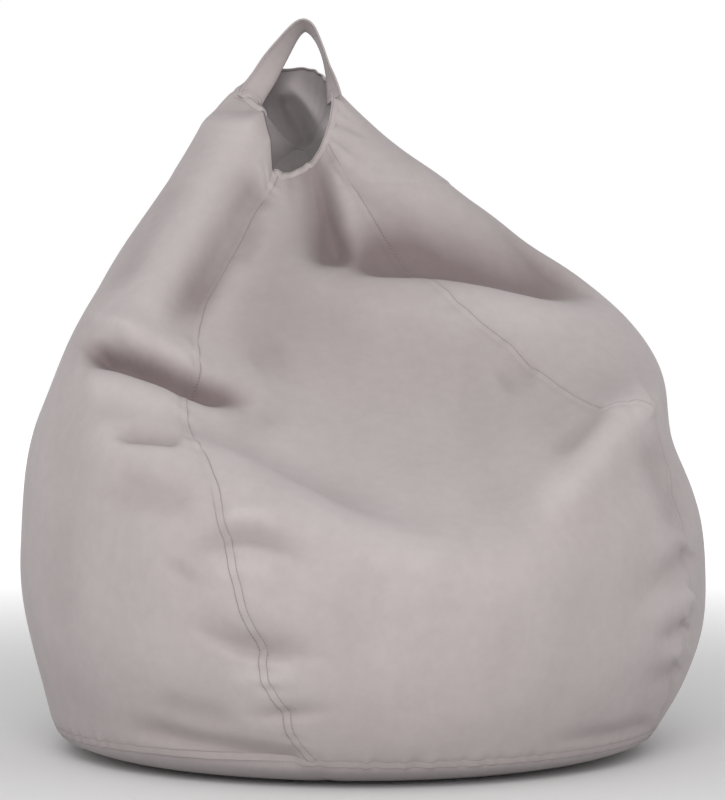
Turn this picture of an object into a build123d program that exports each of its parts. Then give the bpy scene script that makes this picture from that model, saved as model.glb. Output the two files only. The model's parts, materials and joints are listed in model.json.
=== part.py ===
from build123d import *
import os
import numpy as np
from math import radians, degrees, sin, cos, hypot, sqrt, atan2, pi

# Bean bag chair: teardrop cover of four gores with a round base, a small
# top cap and a webbing handle, an inner liner and a bead filling.
# Frame: origin at the centre of the base on the floor, +Z up, seat side -Y.

# ---------------------------------------------------------------- dimensions
COVER_T = 1.6            # cover cloth with its coating
SEAM_RISE = 1.1          # a felled seam stands this much proud of the cloth
SEAM_W = 11.0            # width of a felled seam (two needle rows 9 mm apart)
LINER_GAP = 1.0          # air between cover and liner
LINER_T = 0.8            # liner cloth
FILL_GAP = 1.0           # air between liner and beads
BASE_SEAM_Z = (25.0, 34.0)   # height band of the seam around the base
CAP_C = (-88.0, 160.0)   # cap centre, plan position
CAP_Z = 797.0            # cap centre, height of the rim's mean plane
CAP_DIP = 26.0           # the cap sags below its rim
# Seam lines: azimuth (0 = -Y, positive towards +X) at rings 0, 2, 4, 6, 8, 10, 12
SEAMS = {"front_left": [-7.5, -14.5, -21.5, -33, -39.5, -38, -24],
         "front_right": [69.5, 64, 64, 56, 57, 52, 42],
         "back_right": [158, 158, 158, 154.8, 152, 152, 152],
         "back_left": [-108, -110, -112, -113, -112, -110, -108]}
STRAP_W, STRAP_T = 36.0, 2.4
ZIP_AZ = 158.0
ZIP_R, ZIP_RC, ZIP_ZC = 480.0, -51.0, 240.0   # its arc: radius, centre out and up
ZIP_TAPE_W = 14.0        # each tape, from the middle of the zip
ZIP_Z = (112.0, 396.0)   # lower and upper end of the zip
SLIDER_L, SLIDER_W, SLIDER_T = 22.0, 12.4, 1.6
ZIP_PLAY = 0.35
LINER_TOP_SLOPE = 0.50   # the liner is closed by a flat neck on this slope
LINER_TOP_Z = 736.0
LINER_ZIP_L = 112.0
PIVOT_Y, PIVOT_Z = 162.0, 842.0   # the handle bends here, just above its sewn ends
# Handle centre line: x, z, and turn of the strap about it (0 = flat to the front)
HANDLE = [(-148.5, 822, 0), (-141, 838, 0), (-131.5, 854, 0), (-121, 870, 3), (-109, 889, 8), (-96, 906, 18),
          (-85.5, 920, 36), (-74, 926.5, 58), (-62, 920, 76), (-54, 905, 86), (-48.5, 886, 86),
          (-44.5, 868, 64), (-41.5, 853, 20), (-39, 838, 0), (-36.5, 822, 0)]

# --------------------------------------------- outer shape, rings base to cap
# For each azimuth: radius and height of rings 0 (base seam) to 12 (cap rim).
SHIFT = [0, 0, 0, 0, 0, .05, .15, .3, .45, .6, .75, .9, 1.0]
TABLE = {
-150: [(376,30),(399,78),(419,145),(428,220),(426,305),(408,387),(378,461),(331,538),(277,618),(219,697),(160,768),(114,832),(64,868)],
-120: [(379,30),(397,78),(417,145),(426,220),(422,305),(406,386),(371,458),(329,534),(276,614),(219,692),(160,763),(114,826),(68,860)],
 -90: [(380,30),(398,80),(417,148),(425,225),(419,308),(401,384),(367,450),(331,520),(281,600),(222,675),(165,743),(116,798),(70,834)],
 -60: [(380,32),(397,82),(417,148),(427,225),(423,308),(409,384),(381,446),(338,512),(274,578),(209,637),(153,694),(107,748),(69,788)],
 -30: [(377,34),(396,80),(418,142),(427,215),(421,288),(399,350),(352,386),(301,424),(247,478),(192,546),(139,620),(94,690),(66,742)],
   0: [(376,30),(401,75),(421,135),(430,200),(423,256),(392,298),(341,327),(289,364),(236,420),(186,493),(138,575),(90,655),(63,724)],
  30: [(372,29),(397,75),(419,137),(426,204),(419,262),(389,306),(351,338),(308,378),(251,434),(197,504),(145,584),(95,668),(62,736)],
  60: [(369,30),(394,78),(419,145),(425,222),(418,312),(395,386),(380,428),(347,444),(290,484),(228,548),(164,628),(104,716),(56,780)],
  90: [(365,31),(391,78),(416,145),(422,215),(413,300),(390,374),(392,445),(379,512),(324,580),(246,644),(168,708),(106,770),(52,830)],
 120: [(367,31),(393,78),(417,145),(424,220),(418,305),(400,384),(391,454),(353,528),(291,602),(221,674),(153,742),(94,804),(52,850)],
 150: [(374,30),(400,78),(421,145),(429,220),(424,305),(406,387),(384,460),(335,537),(272,616),(207,695),(144,766),(91,830),(54,866)],
 180: [(377,30),(403,78),(423,145),(432,220),(428,305),(411,388),(381,462),(332,540),(276,622),(216,702),(156,774),(104,838),(60,872)],
}


def periodic_spline(xk, yk, x):
    n = len(xk)
    h = xk[1] - xk[0]
    a = np.zeros((n, n))
    for i in range(n):
        a[i, i] = 4
        a[i, (i - 1) % n] += 1
        a[i, (i + 1) % n] += 1
    rhs = 6 * (np.roll(yk, -1, 0) - 2 * yk + np.roll(yk, 1, 0)) / h ** 2
    m = np.linalg.solve(a, rhs.reshape(n, -1)).reshape(rhs.shape)
    u = ((np.asarray(x) - xk[0]) % 360) / h
    i = np.floor(u).astype(int) % n
    f = (u - np.floor(u)).reshape(u.shape + (1,) * (yk.ndim - 1))
    j = (i + 1) % n
    return ((1 - f) * yk[i] + f * yk[j]
            - h * h / 6 * (((1 - f) - (1 - f) ** 3) * m[i] + (f - f ** 3) * m[j]))


def spline_matrix(n):
    """Second derivatives of the natural cubic spline through n values."""
    a, b = np.eye(n), np.zeros((n, n))
    for i in range(1, n - 1):
        a[i, i - 1], a[i, i], a[i, i + 1] = 1, 4, 1
        b[i, i - 1], b[i, i], b[i, i + 1] = 6, -12, 6
    return np.linalg.solve(a, b)


RINGS = 16               # three rings round the base edge, then rings 0 to 12
SPL = spline_matrix(RINGS)


def ring_values(az):
    keys = sorted(TABLE)
    tab = np.array([TABLE[k] for k in keys], float)
    a = periodic_spline(np.array(keys, float), tab.reshape(len(keys), -1), az)
    a = a.reshape(len(az), 13, 2)
    r0 = a[:, 0, 0]
    low = np.stack([np.stack([r0 - d, np.full(len(az), z)], -1)
                    for d, z in ((44.0, 0.0), (24.0, 4.5), (8.0, 15.0))], 1)
    return np.concatenate([low, a], 1)


def at(az, s):
    """Point of the outer surface at azimuth az and ring s (-3 to 12), elementwise."""
    az, s = np.broadcast_arrays(np.asarray(az, float), np.asarray(s, float))
    shape = az.shape
    az, s = az.ravel(), s.ravel()
    v = ring_values(az)
    t = np.broadcast_to(np.array([0, 0, 0] + SHIFT, float)[None, :, None], (len(az), RINGS, 1))
    v = np.concatenate([v, t], -1)
    m = np.einsum("ij,njk->nik", SPL, v)
    x = np.clip(s + 3, 0, RINGS - 1)
    i = np.minimum(np.floor(x).astype(int), RINGS - 2)
    f = (x - i)[:, None]
    k = np.arange(len(az))
    q = ((1 - f) * v[k, i] + f * v[k, i + 1]
         - 1 / 6 * (((1 - f) - (1 - f) ** 3) * m[k, i] + (f - f ** 3) * m[k, i + 1]))
    p = np.radians(az)
    return np.stack([CAP_C[0] * q[:, 2] + q[:, 0] * np.sin(p),
                     CAP_C[1] * q[:, 2] - q[:, 0] * np.cos(p), q[:, 1]], -1).reshape(shape + (3,))


def skin(az, s, inset):
    """Points moved inwards from the outer surface along its normal."""
    az, s = np.broadcast_arrays(np.asarray(az, float), np.asarray(s, float))
    p = at(az, s)
    da = at(az + 1, s) - at(az - 1, s)
    ds = at(az, np.minimum(s + .05, 12)) - at(az, np.maximum(s - .05, -3))
    n = np.cross(da, ds)
    n /= np.linalg.norm(n, axis=-1, keepdims=True)
    return p - inset * n


def s_at_height(az, z):
    """Ring coordinate where the surface reaches a height, for each azimuth."""
    s = np.linspace(-3, 6, 181)
    h = at(np.asarray(az, float)[:, None], s[None])[..., 2]
    return np.array([np.interp(z, row, s) for row in h])


def seam_az(name, s):
    y = np.array(SEAMS[name], float)
    m = spline_matrix(7) @ y
    x = np.clip(np.asarray(s, float) / 2, 0, 6)
    i = np.minimum(np.floor(x).astype(int), 5)
    f = x - i
    return ((1 - f) * y[i] + f * y[i + 1]
            - 1 / 6 * (((1 - f) - (1 - f) ** 3) * m[i] + (f - f ** 3) * m[i + 1]))


def off_angle(az, s, width):
    """Azimuth step that moves a point sideways by width."""
    a = at(az, s)
    b = at(az + 1.0, s)
    return width / np.linalg.norm(b - a, axis=-1)


# ------------------------------------------------------------ solid builders
def spline_face(p):
    rows = [[Vector(*map(float, q)) for q in row] for row in p]
    return Face.make_surface_from_array_of_points(rows, tol=0.02)


def slab(p_out, p_in):
    """Solid between two grids of points."""
    fo, fi = spline_face(p_out), spline_face(p_in)
    faces = [fo, fi]
    for a in fo.edges():
        b = min(fi.edges(), key=lambda q: (q.center() - a.center()).length)
        faces.append(Face.make_surface_from_curves(a, b))
    return Solid(Shell(Face.sew_faces(faces)[0]))


def ring_edge(points):
    n = len(points)
    return Edge.make_spline([Vector(*map(float, q)) for q in points], periodic=True,
                            parameters=[i / n for i in range(n + 1)])


def ring_tube(rings):
    """Closed ring whose section is the polygon through the given rings."""
    e = [ring_edge(r) for r in rings]
    faces = [Face.make_surface_from_curves(a, b) for a, b in zip(e, e[1:] + e[:1])]
    return Solid(Shell(Face.sew_faces(faces)[0]))


def bowl(outer_rings, inner_rings):
    """Open bowl between two skins, each closed by a flat disc at its last ring."""
    parts = []
    lips = []
    for rings in (outer_rings, inner_rings):
        e = [ring_edge(r) for r in rings]
        parts += [Face.make_surface_from_curves(u, v) for u, v in zip(e, e[1:])]
        parts.append(Face(Wire([e[-1]])))
        lips.append(e[0])
    parts.append(Face.make_surface_from_curves(*lips))
    return Solid(Shell(Face.sew_faces(parts)[0]))


AZ = np.arange(-180, 180, 10.0)
DIRS = np.stack([np.sin(np.radians(AZ)), -np.cos(np.radians(AZ))], -1)
GAP = 0.4
S_TOP = 11.84
nodes = {}

# ------------------------------------------------------------------- panels
N_S, N_A = 53, 19
order = ["front_left", "front_right", "back_right", "back_left"]
names = {"front_left": "front_panel", "front_right": "right_panel",
         "back_right": "back_panel", "back_left": "left_panel"}
w = np.linspace(0, 1, N_S)

for k, name in enumerate(order):
    nxt = order[(k + 1) % 4]
    b0 = float(s_at_height([SEAMS[name][0]], BASE_SEAM_Z[1] + GAP)[0])
    b1 = float(s_at_height([SEAMS[nxt][0]], BASE_SEAM_Z[1] + GAP)[0])
    w0, w1 = b0 + (S_TOP - b0) * w, b1 + (S_TOP - b1) * w
    a0 = seam_az(name, w0)
    a1 = seam_az(nxt, w1)
    a0 = a0 + off_angle(a0, w0, SEAM_W / 2 + GAP)
    a1 = a1 - off_angle(a1, w1, SEAM_W / 2 + GAP) + (360 if name == "back_right" else 0)
    az = a0[None] + (a1 - a0)[None] * np.linspace(0, 1, N_A)[:, None]
    lo = s_at_height(az[:, 0], BASE_SEAM_Z[1] + GAP)[:, None]
    s = lo + (S_TOP - lo) * w[None]
    nodes[names[name]] = slab(skin(az, s, 0.0), skin(az, s, COVER_T))



def seam_strip(node, name, lo, hi, n):
    s = np.linspace(lo, hi, n)
    a = seam_az(name, s)
    d = off_angle(a, s, SEAM_W / 2)
    az = a[None] + d[None] * np.linspace(-1, 1, 5)[:, None]
    nodes[node] = slab(skin(az, s[None], -SEAM_RISE), skin(az, s[None], COVER_T))


for name in order:
    zip_here = name == "back_right"
    lo = float(s_at_height([ZIP_AZ], ZIP_Z[1] + 9)[0]) if zip_here else \
        float(s_at_height([SEAMS[name][0]], BASE_SEAM_Z[1] + GAP)[0])
    seam_strip("seam_" + name, name, lo, S_TOP, N_S)
    if zip_here:
        lo = float(s_at_height([ZIP_AZ], BASE_SEAM_Z[1] + GAP)[0])
        hi = float(s_at_height([ZIP_AZ], ZIP_Z[0] - 9)[0])
        seam_strip("seam_back_right_foot", name, lo, hi, 7)

# --------------------------------------------------------------------- base
z_lo, z_hi = BASE_SEAM_Z
s_lo = s_at_height(AZ, z_lo)
s_hi = s_at_height(AZ, z_hi)
nodes["base_seam"] = ring_tube([skin(AZ, s_lo, -SEAM_RISE), skin(AZ, s_hi, -SEAM_RISE),
                                skin(AZ, s_hi, COVER_T), skin(AZ, s_lo, COVER_T)])


def flat(points, z):
    q = points.copy()
    q[:, 2] = z
    return q


def base_rings(inset, z_end):
    top = s_at_height(AZ, z_lo - GAP)
    rings = [flat(skin(AZ, top, inset), z_lo - GAP)]
    for f in np.arange(14, 0, -1) / 15:
        rings.append(skin(AZ, -3 + (top + 3) * f, inset))
    rings.append(flat(skin(AZ, np.full(len(AZ), -3.0), inset), z_end))
    return rings


nodes["base_panel"] = bowl(base_rings(0.0, 0.0), base_rings(COVER_T, COVER_T))

# ---------------------------------------------------------------------- cap
c = np.array(CAP_C)
rim = at(AZ, np.full(len(AZ), 12.0))
r_rim, z_rim = np.linalg.norm(rim[:, :2] - c, axis=1), rim[:, 2]


def cap_ring(f, dip, drop=0.0):
    z = CAP_Z + (z_rim - CAP_Z) * f - dip - drop
    return np.concatenate([c + DIRS * (r_rim * f)[:, None], z[:, None]], 1)


def disc_ring(r, z):
    return np.concatenate([c + DIRS * r, np.full((len(AZ), 1), z)], 1)


s_c = np.full(len(AZ), S_TOP + .01)
nodes["cap_seam"] = ring_tube([skin(AZ, s_c, -SEAM_RISE), cap_ring(.99, -2.2), cap_ring(.93, 0.2),
                               cap_ring(.93, 3.4), skin(AZ, s_c, COVER_T)])
F = [(.915, 1.4), (.8, 7), (.62, 15.5), (.42, 22)]
nodes["top_cap"] = bowl(
    [cap_ring(f, d) for f, d in F] + [disc_ring(14, CAP_Z - CAP_DIP)],
    [cap_ring(f, d, 2.2) for f, d in F] + [disc_ring(14, CAP_Z - CAP_DIP - 2.2)])

# -------------------------------------------------------------------- liner
# The liner follows the cover from inside: two halves, a round base and a
# flat neck on a slope under the cap, closed by a short zip of its own.
L_OUT = COVER_T + LINER_GAP
L_IN = L_OUT + LINER_T
FILL = L_IN + FILL_GAP
neck_n = Vector(0, -LINER_TOP_SLOPE, 1).normalized()
NECK = Plane(origin=(-80, 146, LINER_TOP_Z), x_dir=(1, 0, 0), z_dir=neck_n)


def neck_height(p):
    """Distance of points above the neck plane."""
    d = p - np.array([*NECK.origin])
    return d @ np.array([*neck_n])


def neck_s(az, inset, drop):
    """Ring coordinate where the inset surface meets the neck plane, lowered by drop."""
    s = np.linspace(8.6, 12, 171)
    h = neck_height(skin(np.asarray(az, float)[:, None], s[None], inset)) + drop
    out = []
    for row in h:
        i = np.argmax(row > 0)
        out.append(s[i - 1] + (s[i] - s[i - 1]) * (-row[i - 1]) / (row[i] - row[i - 1]))
    return np.array(out)


FRAC = np.concatenate([np.arange(0, 12) * .02, np.linspace(.24, 1, 46)])


def layer_rings(inset, drop):
    """Rings of an inner layer, from its flat base up to the neck plane."""
    hi = neck_s(AZ, inset, drop)
    rings = [skin(AZ, -3 + (hi + 3) * f, inset) for f in FRAC]
    rings[0] = flat(rings[0], inset)
    top = rings[-1]
    top = top - (neck_height(top)[:, None] + drop) * np.array([*neck_n])
    return rings[:-1] + [top]


nodes["liner_bag"] = bowl(layer_rings(L_OUT, LINER_T + .6)[::-1], layer_rings(L_IN, LINER_T + .6)[::-1])

# neck: a flat disc of cloth on the neck plane
rimn = skin(AZ, neck_s(AZ, L_OUT + .4, 0.0), L_OUT + .4)
onto = rimn - neck_height(rimn)[:, None] * np.array([*neck_n])
neck_face = Face(Wire([ring_edge(onto)]))
nodes["liner_neck"] = extrude(neck_face, amount=LINER_T, dir=tuple(neck_n * -1))

# beads: everything inside the liner, under the neck
nodes["bead_fill"] = Solid.make_loft([Wire([ring_edge(r)]) for r in layer_rings(FILL, LINER_T + FILL_GAP)],
                                   ruled=True)

# -------------------------------------------------------------- filling zip
# The zip follows a true arc in the plane of the back seam, so the slider
# turns about the arc's centre.
pz = radians(ZIP_AZ)
z_out = np.array([sin(pz), -cos(pz), 0.0])
z_side = np.array([cos(pz), sin(pz), 0.0])
z_cen = z_out * ZIP_RC + np.array([0, 0, ZIP_ZC])
TH = [degrees(atan2(z - ZIP_ZC, sqrt(ZIP_R ** 2 - (z - ZIP_ZC) ** 2))) for z in ZIP_Z]


def arc_point(theta, v, r):
    t = np.radians(theta)
    return (z_cen + (r * np.cos(t))[..., None] * z_out + v[..., None] * z_side
            + (r * np.sin(t))[..., None] * np.array([0, 0, 1.0]))


def skin_radius(theta, v, inset):
    """Radius from the arc's centre at which the surface lies, for a sideways v."""
    s = np.linspace(-1.2, 6.2, 75)
    az = ZIP_AZ + np.linspace(-7, 5, 25)
    q = skin(az[:, None], s[None], inset) - z_cen
    vv, uu, zz = q @ z_side, q @ z_out, q[..., 2]
    th_k = np.array([np.interp(v, vv[:, k], np.degrees(np.arctan2(zz[:, k], uu[:, k]))) for k in range(len(s))])
    r_k = np.array([np.interp(v, vv[:, k], np.hypot(zz[:, k], uu[:, k])) for k in range(len(s))])
    return np.interp(theta, th_k, r_k)


th = np.linspace(TH[0], TH[1], 41)
reach = max(skin_radius(th, v, 0.0).max() for v in (-ZIP_TAPE_W, -2.6, 2.6, ZIP_TAPE_W))
R_TAPE = reach + 0.8
print("zip arc: skin radius", [round(float(x), 2) for v in (-14, 0, 14) for x in
                               (skin_radius(th, v, 0.0).min(), skin_radius(th, v, 0.0).max())], "tape", R_TAPE)
for side, sg in (("left", 1), ("right", -1)):
    v = sg * np.linspace(2.6, ZIP_TAPE_W, 7)
    g_out = np.array([arc_point(th, np.full(len(th), q), np.full(len(th), R_TAPE)) for q in v])
    g_in = np.array([arc_point(th, np.full(len(th), q), skin_radius(th, q, 0.0) + 0.12) for q in v])
    nodes["zip_tape_" + side] = slab(g_out, g_in)


def arc_block(profile, t0, t1):
    """Profile in (v, r) swept round the arc's centre from t0 to t1 degrees."""
    t = radians(t0)
    pts = [Vector(*map(float, z_cen + z_out * (r * cos(t)) + z_side * v
                       + np.array([0, 0, r * sin(t)]))) for v, r in profile]
    f = Face(Wire.make_polygon(pts, close=True))
    return revolve(f, axis=Axis(tuple(map(float, z_cen)), tuple(map(float, -z_side))),
                   revolution_arc=t1 - t0)


def rect(v0, v1, r0, r1):
    return [(v0, r0), (v0, r1), (v1, r1), (v1, r0)]


R_COIL = R_TAPE + 1.0
stop = degrees(3.0 / R_COIL)
for side, sg in (("left", 1), ("right", -1)):
    nodes["zip_coil_" + side] = arc_block(rect(sg * 0.06, sg * 2.5, R_TAPE - 1.4, R_COIL),
                                          TH[0] + stop + .1, TH[1] - stop - .1)
nodes["zip_bottom_stop"] = arc_block(rect(-3.4, 3.4, R_TAPE + .02, R_COIL + .8), TH[0], TH[0] + stop)
nodes["zip_top_stop"] = arc_block(rect(-3.4, 3.4, R_TAPE + .02, R_COIL + .8), TH[1] - stop, TH[1])
half_len = degrees(SLIDER_L / 2 / R_COIL)
t_rest = TH[0] + stop + half_len + .06
t_far = TH[1] - stop - half_len - .06
r0, r2 = R_TAPE + ZIP_PLAY, R_COIL + ZIP_PLAY
r3, hw = r2 + SLIDER_T, SLIDER_W / 2
slider = arc_block([(-hw, r0), (-hw, r3), (hw, r3), (hw, r0), (3.4, r0), (3.4, r2), (-3.4, r2), (-3.4, r0)],
                   t_rest - half_len, t_rest + half_len)
bridge = arc_block(rect(-1.6, 1.6, r3 - .3, r3 + 2.4), t_rest - .7, t_rest + .7)
nodes["zip_slider"] = slider + bridge
print("zip slider: centre", z_cen / 1000, "axis", -z_side, "range deg", t_far - t_rest)

# ---------------------------------------------------------------- liner zip
ZC_Y = 12.0
half = LINER_ZIP_L / 2


def on_neck(x0, x1, y0, y1, z0, z1):
    return NECK * Pos((x0 + x1) / 2, (y0 + y1) / 2 + ZC_Y, (z0 + z1) / 2) * Box(x1 - x0, y1 - y0, z1 - z0)


for side, (y0, y1) in {"upper": (0.15, 12), "lower": (-12, -0.15)}.items():
    nodes["liner_zip_tape_" + side] = on_neck(-half - 6, half + 6, y0, y1, 0.02, 0.62)
nodes["liner_zip_coil"] = on_neck(-half, half, -2.2, 2.2, 0.64, 2.0)
body = on_neck(-half + .4, -half + 14.4, -4.6, 4.6, 0.97, 3.7) - on_neck(-half - 2, -half + 17, -2.6, 2.6, 0, 2.35)
nodes["liner_zip_slider"] = body
print("liner slider travel", 2 * (half - .4) - 14.0)

# ------------------------------------------------------------------- handle
path = np.array(HANDLE, float)
k = np.linspace(0, len(path) - 1, 2 * len(path) - 1)
mat = spline_matrix(len(path)) @ path
i = np.minimum(np.floor(k).astype(int), len(path) - 2)
f = (k - i)[:, None]
q = ((1 - f) * path[i] + f * path[i + 1]
     - 1 / 6 * (((1 - f) - (1 - f) ** 3) * mat[i] + (f - f ** 3) * mat[i + 1]))
tan = np.gradient(q[:, :2], axis=0)
tan /= np.linalg.norm(tan, axis=1, keepdims=True)
wires = []
for (x, z, turn), (tx, tz) in zip(q, tan):
    across = np.array([tz, 0, -tx])          # across the strap, in the loop's plane
    depth = np.array([0, 1.0, 0])
    a = radians(turn)
    wd = across * cos(a) + depth * sin(a)
    nd = -across * sin(a) + depth * cos(a)
    o = np.array([x, PIVOT_Y, z])
    wires.append(Wire.make_polygon([Vector(*map(float, o + wd * u * STRAP_W / 2 + nd * v * STRAP_T / 2))
                                    for u, v in ((-1, -1), (1, -1), (1, 1), (-1, 1))], close=True))
strap = Solid.make_loft(wires)
nodes["handle_loop"] = max((strap & (Pos(0, 0, PIVOT_Z + .3 + 100) * Box(900, 900, 200))).solids(),
                           key=lambda g: g.volume)
ends = strap & (Pos(0, 0, PIVOT_Z - 1.6 - 100) * Box(900, 900, 200))
for other in ("top_cap", "cap_seam", "left_panel", "right_panel"):
    ends = ends - nodes[other]
for side, sg in (("left", -1), ("right", 1)):
    nodes["handle_end_" + side] = max((g for g in ends.solids() if (g.center().X + 88) * sg > 0 and g.volume > 40),
                                      key=lambda g: g.center().Z)

# ------------------------------------------------------------------- export
os.makedirs("parts", exist_ok=True)
for name, part in nodes.items():
    b = part.bounding_box()
    print(name, type(part).__name__, len(part.solids()), round(part.volume / 1000, 2), part.is_valid,
          [round(v, 1) for v in (*b.min, *b.max)])
    part.label = name
    export_step(part, "parts/" + name + ".step")
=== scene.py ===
import bpy
import json
import math
import numpy as np
from math import radians, sin, cos, pi
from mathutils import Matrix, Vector

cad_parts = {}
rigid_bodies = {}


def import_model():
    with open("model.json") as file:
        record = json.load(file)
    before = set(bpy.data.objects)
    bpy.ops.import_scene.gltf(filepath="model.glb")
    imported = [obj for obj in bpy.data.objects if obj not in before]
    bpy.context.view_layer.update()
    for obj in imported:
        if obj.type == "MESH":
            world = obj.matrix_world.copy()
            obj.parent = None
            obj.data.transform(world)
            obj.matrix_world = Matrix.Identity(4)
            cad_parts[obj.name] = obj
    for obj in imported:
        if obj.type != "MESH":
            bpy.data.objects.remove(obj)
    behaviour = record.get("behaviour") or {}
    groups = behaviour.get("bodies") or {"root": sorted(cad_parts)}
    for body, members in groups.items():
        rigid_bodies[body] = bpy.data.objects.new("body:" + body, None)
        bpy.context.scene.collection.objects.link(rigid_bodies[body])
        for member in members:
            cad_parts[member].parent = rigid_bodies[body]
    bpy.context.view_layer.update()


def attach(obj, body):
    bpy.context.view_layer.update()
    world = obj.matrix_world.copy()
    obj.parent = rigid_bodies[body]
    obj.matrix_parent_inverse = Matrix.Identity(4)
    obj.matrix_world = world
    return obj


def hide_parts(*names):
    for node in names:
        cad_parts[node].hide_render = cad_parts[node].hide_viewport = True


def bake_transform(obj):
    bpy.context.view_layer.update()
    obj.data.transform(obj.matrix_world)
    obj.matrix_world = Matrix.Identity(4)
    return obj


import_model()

rng = np.random.default_rng(7)

# ------------------------------------------------------------ outer surface
# The same rings as the CAD cover, in millimetres: radius and height of each
# ring at twelve azimuths (0 = front, -Y; positive towards +X).
CAP_C = (-88.0, 160.0)
CAP_Z = 797.0
SHIFT = [0, 0, 0, 0, 0, .05, .15, .3, .45, .6, .75, .9, 1.0]
TABLE = {
-150: [(376,30),(399,78),(419,145),(428,220),(426,305),(408,387),(378,461),(331,538),(277,618),(219,697),(160,768),(114,832),(64,868)],
-120: [(379,30),(397,78),(417,145),(426,220),(422,305),(406,386),(371,458),(329,534),(276,614),(219,692),(160,763),(114,826),(68,860)],
 -90: [(380,30),(398,80),(417,148),(425,225),(419,308),(401,384),(367,450),(331,520),(281,600),(222,675),(165,743),(116,798),(70,834)],
 -60: [(380,32),(397,82),(417,148),(427,225),(423,308),(409,384),(381,446),(338,512),(274,578),(209,637),(153,694),(107,748),(69,788)],
 -30: [(377,34),(396,80),(418,142),(427,215),(421,288),(399,350),(352,386),(301,424),(247,478),(192,546),(139,620),(94,690),(66,742)],
   0: [(376,30),(401,75),(421,135),(430,200),(423,256),(392,298),(341,327),(289,364),(236,420),(186,493),(138,575),(90,655),(63,724)],
  30: [(372,29),(397,75),(419,137),(426,204),(419,262),(389,306),(351,338),(308,378),(251,434),(197,504),(145,584),(95,668),(62,736)],
  60: [(369,30),(394,78),(419,145),(425,222),(418,312),(395,386),(380,428),(347,444),(290,484),(228,548),(164,628),(104,716),(56,780)],
  90: [(365,31),(391,78),(416,145),(422,215),(413,300),(390,374),(392,445),(379,512),(324,580),(246,644),(168,708),(106,770),(52,830)],
 120: [(367,31),(393,78),(417,145),(424,220),(418,305),(400,384),(391,454),(353,528),(291,602),(221,674),(153,742),(94,804),(52,850)],
 150: [(374,30),(400,78),(421,145),(429,220),(424,305),(406,387),(384,460),(335,537),(272,616),(207,695),(144,766),(91,830),(54,866)],
 180: [(377,30),(403,78),(423,145),(432,220),(428,305),(411,388),(381,462),(332,540),(276,622),(216,702),(156,774),(104,838),(60,872)],
}
# Seam lines: azimuth against ring
SEAM_LINES = {
    "front_left": ([-0.2, 0.35, .8, 1.25, 1.85, 2.35, 2.9, 3.15, 3.75, 4.15, 4.4, 4.85, 5.4, 5.9, 6.45, 6.85, 7.1, 7.45, 7.7, 8.05, 8.65, 9.7, 10.5, 11.5, 12],
                   [-7, -9.5, -11.5, -12, -14.5, -15, -17.5, -18, -19.5, -21.2, -21.8, -23, -26.5, -31, -34, -35.6, -35.6, -34.6, -36.6, -39.3, -41, -39, -35.5, -29, -25]),
    "front_right": ([-0.2, .3, .6, 1.1, 1.45, 1.85, 2.15, 2.45, 3.05, 3.75, 4.1, 4.5, 4.9, 5.4, 5.75, 6.2, 7.0, 7.5, 7.9, 8.4, 9.25, 10.1, 10.75, 12],
                    [70, 69.5, 68.5, 66.8, 63, 65, 62.5, 67, 65, 65.2, 63.4, 65.4, 64.6, 62, 58.5, 53.5, 55.3, 56.4, 56.6, 57.2, 53.8, 51.2, 46.6, 42]),
    "back_right": ([0, 4, 5.2, 6, 8, 10, 12], [158, 158, 156.6, 154.8, 152, 152, 152]),
    "back_left": ([0, 2, 4, 6, 8, 10, 12], [-108, -110, -112, -113, -112, -110, -108]),
}
SEAM_W = 11.0

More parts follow.
